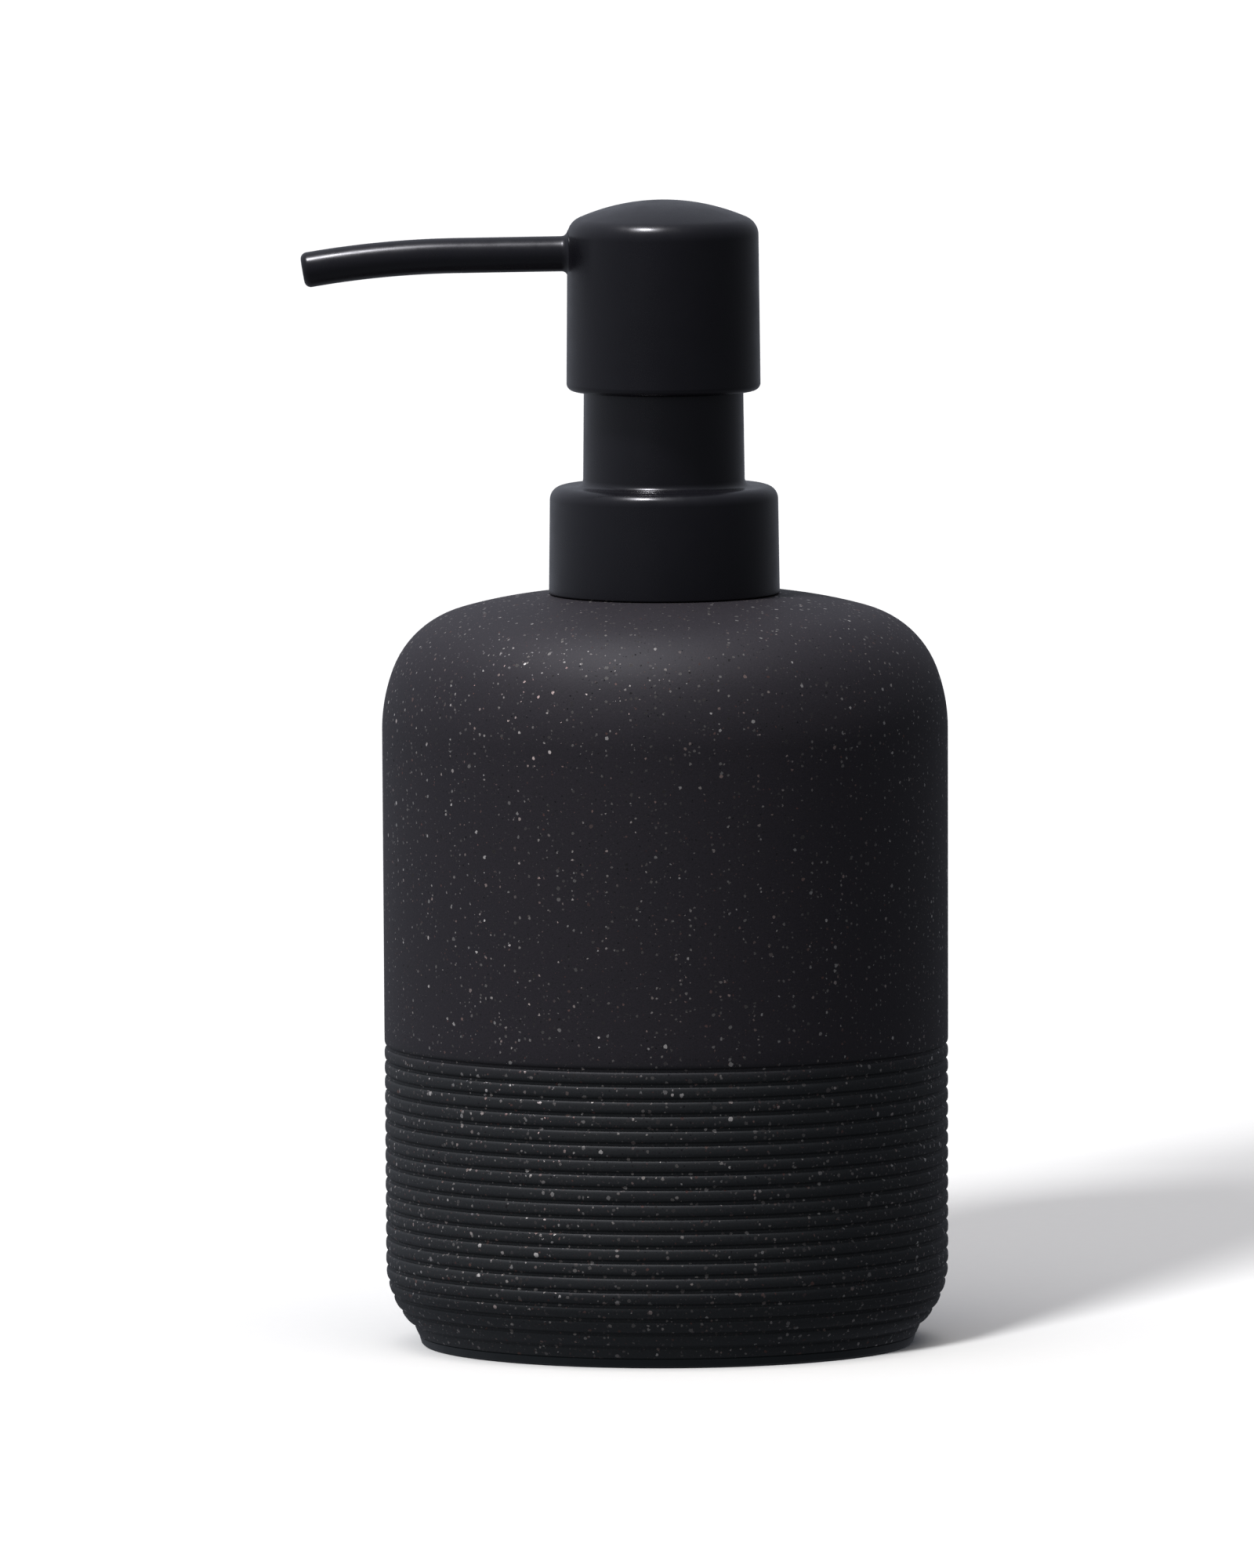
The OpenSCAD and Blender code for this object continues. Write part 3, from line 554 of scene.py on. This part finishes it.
FACTOR, COLOUR_A, COLOUR_B, MIXED = 0, 6, 7, 2     # sockets of a Mix node that mixes colours


def new_material(name):
    """An empty material's tree and its Object coordinates."""
    material = bpy.data.materials.new(name)
    material.use_nodes = True
    tree = material.node_tree
    tree.nodes.clear()
    return material, tree, add(tree, "TexCoord").outputs["Object"]


def finish_material(tree, **sockets):
    """The shader and the output, with sockets named as on the shader but with _ for a space."""
    shader = add(tree, "BsdfPrincipled", {key.replace("_", " "): value for key, value in sockets.items()})
    add(tree, "OutputMaterial", {"Surface": shader.outputs[0]})


def per_mm(size):
    """A pattern's scale for features of this many millimetres."""
    return 1 / (size * MM)


# ---------------------------------------------------------------- materials
def cast_stone():
    """Polyresin filled with ground stone, cast in a mould and left matte: a charcoal body
    with pale mineral flecks of 0.2 to 0.7 mm, cut through at the skin, and a faintly sandy surface."""
    material, tree, point = new_material("cast_resin_stone_filled")
    height = add(tree, "SeparateXYZ", {"Vector": point}).outputs["Z"]
    # The ribbed part is a cooler, greener charcoal than the smooth part above it.
    above = add(tree, "MapRange", {"Value": height, "From Min": 0.0395, "From Max": 0.0425})
    cloud = add(tree, "TexNoise", {"Vector": point, "Scale": per_mm(9), "Detail": 3.0, "Roughness": 0.6})
    warm = add(tree, "Mix", {FACTOR: cloud.outputs["Fac"], COLOUR_A: linear("#252227"), COLOUR_B: linear("#2b262a")},
               data_type="RGBA")
    cool = add(tree, "Mix", {FACTOR: cloud.outputs["Fac"], COLOUR_A: linear("#202224"), COLOUR_B: linear("#282a29")},
               data_type="RGBA")
    charcoal = add(tree, "Mix", {FACTOR: above.outputs[0], COLOUR_A: cool.outputs[MIXED],
                                 COLOUR_B: warm.outputs[MIXED]}, data_type="RGBA")
    # Powdered filler, too fine to show one by one: a grain of 0.25 mm.
    grain = add(tree, "TexNoise", {"Vector": point, "Scale": per_mm(0.25), "Detail": 2.0, "Roughness": 0.7})
    shade = add(tree, "MapRange", {"Value": grain.outputs["Fac"], "From Min": 0.3, "From Max": 0.7,
                                   "To Min": 0.8, "To Max": 1.25})
    colour = add(tree, "Mix", {FACTOR: 1.0, COLOUR_A: charcoal.outputs[MIXED], COLOUR_B: shade.outputs[0]},
                 data_type="RGBA", blend_type="MULTIPLY").outputs[MIXED]
    # The grains are crushed, so their outlines are pushed out of round.
    uneven = add(tree, "TexNoise", {"Vector": point, "Scale": per_mm(0.3), "Detail": 1.0})
    push = add(tree, "VectorMath", {0: uneven.outputs["Color"], 1: mm(0.3, 0.3, 0.3)}, operation="MULTIPLY")
    crushed = add(tree, "VectorMath", {0: point, 1: push.outputs[0]}, operation="ADD").outputs[0]
    cover, facing = None, None
    # Each layer of flecks: spacing and largest radius in mm, share of cells that hold one, dull and bright colours.
    layers = ((0.42, 0.13, 0.75, "#323034", "#676260"),
              (0.66, 0.22, 0.72, "#423f40", "#aca69f"),
              (1.10, 0.30, 0.48, "#524e4c", "#dcd7d0"))
    # Flecks are drawn a fifth larger all over the ribbed band. This is partly grains worn bare on the crests, and
    # partly a painted highlight that stands in for the lamp's glints on the crests' upper slopes.
    rib_wear_and_glint = add(tree, "MapRange", {"Value": above.outputs[0], "To Min": 1.2, "To Max": 1.0})
    for number, (spacing, radius, share, dull, bright) in enumerate(layers):
        moved = add(tree, "Mapping", {"Vector": crushed, "Location": mm(11 * number, 7 * number, 3 * number)})
        cells = add(tree, "TexVoronoi", {"Vector": moved.outputs[0], "Scale": per_mm(spacing)}, feature="F1")
        chance = add(tree, "SeparateColor", {"Color": cells.outputs["Color"]})
        # A cell's own chance sets how big its fleck is, and most cells have none.
        size = add(tree, "MapRange", {"Value": chance.outputs[0], "From Min": 1 - share, "From Max": 1.0,
                                      "To Min": 0.0, "To Max": radius / spacing})
        # Below the smooth part every fleck grows: worn grains, and in part a painted highlight on the ribs.
        size = add(tree, "Math", {0: size.outputs[0], 1: rib_wear_and_glint.outputs[0]}, operation="MULTIPLY")
        rim = add(tree, "Math", {0: size.outputs[0], 1: cells.outputs["Distance"]}, operation="SUBTRACT")
        fleck = add(tree, "MapRange", {"Value": rim.outputs[0], "From Min": 0.0, "From Max": 0.03},
                    interpolation_type="SMOOTHSTEP")
        tone = add(tree, "Math", {0: chance.outputs[1], 1: 2.2}, operation="POWER")
        mineral = add(tree, "Mix", {FACTOR: tone.outputs[0], COLOUR_A: linear(dull), COLOUR_B: linear(bright)},
                      data_type="RGBA")
        # Some grains are brown or rust, and most are grey.
        rusty = add(tree, "MapRange", {"Value": chance.outputs[2], "From Min": 0.8, "From Max": 1.0,
                                       "To Min": 0.0, "To Max": 0.45})
        tinted = add(tree, "Mix", {FACTOR: rusty.outputs[0], COLOUR_A: mineral.outputs[MIXED],
                                   COLOUR_B: linear("#7a4a3c")}, data_type="RGBA")
        colour = add(tree, "Mix", {FACTOR: fleck.outputs[0], COLOUR_A: colour, COLOUR_B: tinted.outputs[MIXED]},
                     data_type="RGBA").outputs[MIXED]
        if cover is None:
            cover, facing = fleck.outputs[0], cells.outputs["Color"]
        else:
            facing = add(tree, "Mix", {FACTOR: fleck.outputs[0], COLOUR_A: facing, COLOUR_B: cells.outputs["Color"]},
                         data_type="RGBA").outputs[MIXED]
            cover = add(tree, "Math", {0: cover, 1: fleck.outputs[0]}, operation="MAXIMUM").outputs[0]
    rough = add(tree, "MapRange", {"Value": cover, "To Min": 0.64, "To Max": 0.42})
    # Mica in the grains mirrors the lamp, so they are brightest around the shoulder's highlight.
    mica = add(tree, "MapRange", {"Value": cover, "To Min": 0.0, "To Max": 0.4})
    bump = add(tree, "Bump", {"Height": grain.outputs["Fac"], "Strength": 0.35, "Distance": 0.04 * MM})
    # Each grain is broken along its own plane, so some of them flash where their neighbours stay dull.
    tilt = add(tree, "VectorMath", {0: facing, 1: (0.5, 0.5, 0.5)}, operation="SUBTRACT")
    reach = add(tree, "MapRange", {"Value": cover, "To Min": 0.0, "To Max": 0.75})
    tilt = add(tree, "VectorMath", {0: tilt.outputs[0], "Scale": reach.outputs[0]}, operation="SCALE")
    broken = add(tree, "VectorMath", {0: bump.outputs[0], 1: tilt.outputs[0]}, operation="ADD")
    broken = add(tree, "VectorMath", {0: broken.outputs[0]}, operation="NORMALIZE")
    finish_material(tree, Base_Color=colour, Roughness=rough.outputs[0], Metallic=mica.outputs[0],
                    Normal=broken.outputs[0])
    return material


def moulded(name, colour, roughness, grain, depth, mottle=0.12, wear=0.06, **shader):
    """A moulded plastic or rubber with the mould's fine texture: grain is its size and depth its height in mm.
    mottle is how far its colour wanders, and wear how much its gloss does where hands polish it."""
    material, tree, point = new_material(name)
    drift = add(tree, "TexNoise", {"Vector": point, "Scale": per_mm(14), "Detail": 4.0, "Roughness": 0.55})
    shade = add(tree, "MapRange", {"Value": drift.outputs["Fac"], "From Min": 0.3, "From Max": 0.7,
                                   "To Min": 1 - mottle, "To Max": 1 + mottle})
    tone = add(tree, "Mix", {FACTOR: 1.0, COLOUR_A: linear(colour), COLOUR_B: shade.outputs[0]},
               data_type="RGBA", blend_type="MULTIPLY")
    rubbed = add(tree, "TexNoise", {"Vector": point, "Scale": per_mm(4), "Detail": 5.0, "Roughness": 0.65})
    gloss = add(tree, "MapRange", {"Value": rubbed.outputs["Fac"], "From Min": 0.3, "From Max": 0.7,
                                   "To Min": roughness - wear, "To Max": roughness + wear})
    texture = add(tree, "TexNoise", {"Vector": point, "Scale": per_mm(grain), "Detail": 2.0, "Roughness": 0.6})
    bump = add(tree, "Bump", {"Height": texture.outputs["Fac"], "Strength": 0.5, "Distance": depth * MM})
    finish_material(tree, Base_Color=tone.outputs[MIXED], Roughness=gloss.outputs[0], Normal=bump.outputs[0], **shader)
    return material


def drawn_steel():
    """Stainless spring wire, drawn through a die and coiled: fine lines run along the wire, a little dull."""
    material, tree, point = new_material("stainless_wire_drawn")
    flat = add(tree, "Mapping", {"Vector": point, "Scale": (1.0, 1.0, 8.0)})
    lines = add(tree, "TexNoise", {"Vector": flat.outputs[0], "Scale": per_mm(0.6), "Detail": 3.0})
    tone = add(tree, "Mix", {FACTOR: lines.outputs["Fac"], COLOUR_A: linear("#b9bbbd"), COLOUR_B: linear("#d9dadb")},
               data_type="RGBA")
    gloss = add(tree, "MapRange", {"Value": lines.outputs["Fac"], "To Min": 0.22, "To Max": 0.42})
    bump = add(tree, "Bump", {"Height": lines.outputs["Fac"], "Strength": 0.3, "Distance": 0.01 * MM})
    finish_material(tree, Base_Color=tone.outputs[MIXED], Metallic=1.0, Roughness=gloss.outputs[0],
                    Normal=bump.outputs[0])
    return material


def ground_steel():
    """A bearing ball, ground and lapped: a mirror with hair-fine marks and the odd pit."""
    material, tree, point = new_material("bearing_steel_lapped")
    marks = add(tree, "TexNoise", {"Vector": point, "Scale": per_mm(0.3), "Detail": 4.0, "Distortion": 1.5})
    gloss = add(tree, "MapRange", {"Value": marks.outputs["Fac"], "To Min": 0.04, "To Max": 0.16})
    tone = add(tree, "Mix", {FACTOR: marks.outputs["Fac"], COLOUR_A: linear("#c4c6c9"), COLOUR_B: linear("#e0e1e2")},
               data_type="RGBA")
    finish_material(tree, Base_Color=tone.outputs[MIXED], Metallic=1.0, Roughness=gloss.outputs[0])
    return material


def dress(piece, material):
    """The piece's only material."""
    piece.data.materials.clear()
    piece.data.materials.append(material)


# ---------------------------------------------------------------- stage, light and camera
FLOOR_R = 40000.0
ROOM_BELOW, ROOM_ABOVE = 0.17, 0.4      # the room's strength looking down and up
ROOM_LEFT, ROOM_RIGHT = 2.0, 0.6        # what that is multiplied by towards each side
ROOM_FRONT, ROOM_BACK = 0.6, 1.2
PART_MIDDLE = (0, 0, 80)                # where the part's lamps point
FLOOR_MIDDLE = (0, 0, 0)
CAMERA_BACK = 4500.0
CAMERA_HEIGHT = 481.0
CAMERA_SIDE = -5.2
CAMERA_AIM = 76.4                       # height of the point it looks at
CAMERA_LENS = 762.8
CAMERA_ROLL = 0.25                      # degrees


def make_floor():
    """A large pale sheet, so that it fills every view of the part."""
    bpy.ops.object.select_all(action="DESELECT")
    bpy.ops.mesh.primitive_circle_add(vertices=96, radius=FLOOR_R * MM, fill_type="NGON", location=AXIS_POINT)
    floor = bpy.context.object
    floor.name = "floor"
    material, tree, point = new_material("matt_white_paper")
    fibre = add(tree, "TexNoise", {"Vector": point, "Scale": per_mm(2), "Detail": 3.0})
    tone = add(tree, "MapRange", {"Value": fibre.outputs["Fac"], "To Min": 0.79, "To Max": 0.81})
    finish_material(tree, Base_Color=tone.outputs[0], Roughness=0.9, Specular_IOR_Level=0.1)
    dress(floor, material)
    floor.visible_glossy = False
    floor.visible_diffuse = False
    return floor


def make_light(name, kind, place, power, size, lit, aim, tint="#ffffff"):
    """A lamp that shines on one group of objects only. size is a disc's width, or a sun's angle in degrees."""
    bpy.ops.object.light_add(type=kind, location=mm(*place))
    lamp = bpy.context.object
    lamp.name = name
    lamp.data.energy = power
    lamp.data.color = linear(tint)[:3]
    if kind == "SUN":
        lamp.data.angle = math.radians(size)
    else:
        lamp.data.shape = "DISK"
        lamp.data.size = size * MM
    lamp.rotation_euler = (Vector(mm(*place)) - Vector(mm(*aim))).to_track_quat("Z", "Y").to_euler()
    lamp.light_linking.receiver_collection = lit
    return lamp


def make_world():
    """White where the camera sees past the floor. The part is lit by a dim room, brighter above and to the left."""
    world = bpy.data.worlds.new("studio")
    bpy.context.scene.world = world
    world.use_nodes = True
    tree = world.node_tree
    tree.nodes.clear()
    way = add(tree, "SeparateXYZ", {"Vector": add(tree, "TexCoord").outputs["Generated"]})
    up = add(tree, "MapRange", {"Value": way.outputs["Z"], "From Min": -0.25, "From Max": 0.9,
                                "To Min": ROOM_BELOW, "To Max": ROOM_ABOVE})
    side = add(tree, "MapRange", {"Value": way.outputs["X"], "From Min": -1.0, "From Max": 1.0,
                                  "To Min": ROOM_LEFT, "To Max": ROOM_RIGHT})
    depth = add(tree, "MapRange", {"Value": way.outputs["Y"], "From Min": -1.0, "From Max": 1.0,
                                   "To Min": ROOM_FRONT, "To Max": ROOM_BACK})
    level = add(tree, "Math", {0: up.outputs[0], 1: side.outputs[0]}, operation="MULTIPLY")
    level = add(tree, "Math", {0: level.outputs[0], 1: depth.outputs[0]}, operation="MULTIPLY")
    room = add(tree, "Background", {"Color": linear("#dfe4f2"), "Strength": level.outputs[0]})
    seen = add(tree, "Background", {"Color": linear("#ffffff"), "Strength": 1.05})
    ray = add(tree, "LightPath")
    both = add(tree, "MixShader", {0: ray.outputs["Is Camera Ray"], 1: room.outputs[0], 2: seen.outputs[0]})
    add(tree, "OutputWorld", {"Surface": both.outputs[0]})


def make_camera():
    """A long lens a little above the shoulder, level but for a slight roll."""
    bpy.ops.object.camera_add(location=mm(CAMERA_SIDE, -CAMERA_BACK, CAMERA_HEIGHT))
    camera = bpy.context.object
    camera.name = "camera"
    camera.data.lens = CAMERA_LENS
    camera.data.clip_start = 0.05
    camera.data.clip_end = 200
    ahead = Vector((0, CAMERA_BACK, CAMERA_AIM - CAMERA_HEIGHT))
    turn = ahead.to_track_quat("-Z", "Y").to_matrix() @ Matrix.Rotation(math.radians(-CAMERA_ROLL), 3, "Z")
    camera.rotation_euler = turn.to_euler()
    bpy.context.scene.camera = camera
    bpy.context.scene.view_settings.view_transform = "Standard"


# ---------------------------------------------------------------- build
bottle = make_bottle()
foot_ring = make_foot()
collar = make_collar()
head = make_head()
spring = make_spring()

FINISHES = {
    "stone_body": cast_stone(),
    # Polypropylene, moulded and lightly grained: nearly black with a green-blue cast, no flecks.
    "base_plastic": moulded("polypropylene_moulded_dark", "#1b2021", 0.5, 0.2, 0.01),
    # Foamed rubber, die cut: dull and pitted.
    "pad_rubber": moulded("eva_foam_die_cut", "#2b2b2b", 0.9, 0.4, 0.08),
    # Polypropylene, moulded in a polished tool: white, slightly waxy.
    "white_pp": moulded("polypropylene_moulded_white", "#dcdcd6", 0.35, 0.3, 0.004, 0.03, Subsurface_Weight=0.1,
                        Subsurface_Radius=(0.002, 0.002, 0.002)),
    # Silicone rubber, moulded: milky, with a soft sheen.
    "silicone": moulded("silicone_moulded", "#bdb8ae", 0.45, 0.25, 0.01, 0.04),
    # ABS, moulded in a fine spark-eroded tool: satin black that picks up soft highlights.
    "black_plastic": moulded("abs_moulded_satin_black", "#141318", 0.28, 0.12, 0.0015),
    # Polypropylene, moulded: black and a little waxy.
    "nut_pp": moulded("polypropylene_moulded_black", "#18181a", 0.42, 0.2, 0.006),
    # Polyethylene foam, die cut: white with open cells at the edge.
    "foam_gasket": moulded("polyethylene_foam_die_cut", "#e4e3dd", 0.85, 0.35, 0.06, 0.04),
    # Natural polypropylene, moulded: milky and translucent.
    "natural_pp": moulded("polypropylene_moulded_natural", "#dfe1dd", 0.32, 0.3, 0.004, 0.03,
                          Subsurface_Weight=0.25, Subsurface_Radius=(0.003, 0.003, 0.003)),
    "steel_ball": ground_steel(),
    "spring_steel": drawn_steel(),
    # Low-density polyethylene, extruded: hazy tube with a slight gloss.
    "tube_pe": moulded("polyethylene_extruded_hazy", "#dde1e1", 0.28, 0.5, 0.004, 0.02, Transmission_Weight=0.45,
                       IOR=1.51),
    # Polyethylene, moulded: soft white with a wiping lip.
    "piston_pe": moulded("polyethylene_moulded_white", "#e6e6e0", 0.38, 0.3, 0.004, 0.03),
    # Polypropylene, moulded in a polished tool: glossy black where it slides.
    "stem_pp": moulded("polypropylene_moulded_gloss_black", "#17181a", 0.2, 0.3, 0.002),
    "core_pp": moulded("polypropylene_moulded_core", "#1e1f21", 0.45, 0.25, 0.006),
    "liner_pe": moulded("polyethylene_extruded_grey", "#9ea1a3", 0.35, 0.4, 0.004),
}
SLOT_OF = {
    "foot_pad": "pad_rubber", "neck_insert": "white_pp", "neck_seal": "silicone", "closure_nut": "nut_pp",
    "gasket": "foam_gasket", "pump_housing": "natural_pp", "chaplet": "white_pp", "ball_cage": "natural_pp",
    "check_ball": "steel_ball", "dip_tube": "tube_pe", "piston": "piston_pe", "valve_rod": "natural_pp",
    "stem": "stem_pp", "head_core": "core_pp", "spout_liner": "liner_pe",
}
for piece in (bottle, foot_ring, collar, head, spring):
    dress(piece, FINISHES[piece["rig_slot"]])
for node, finish in SLOT_OF.items():
    dress(frame["nodes"][node], FINISHES[finish])

floor = make_floor()
part_group = bpy.data.collections.new("part")
stage_group = bpy.data.collections.new("stage")
for item in bpy.context.scene.objects:
    if item.type == "MESH":
        (stage_group if item == floor else part_group).objects.link(item)

make_world()
make_light("key", "AREA", (-240, -235, 1050), 8.0, 130, part_group, PART_MIDDLE, "#f6f5fc")
fill = make_light("front_fill", "AREA", (-1050, -2050, 450), 8.5, 1400, part_group, PART_MIDDLE, "#f9f7fb")
fill.visible_glossy = False     # a sheet so wide and soft that it leaves no reflection
make_light("floor_sun", "SUN", (-676, -1690, 843), 4.95, 11, stage_group, FLOOR_MIDDLE)
make_light("floor_top", "SUN", (0, -600, 1500), 1.38, 60, stage_group, FLOOR_MIDDLE, "#fff9f0")
make_camera()
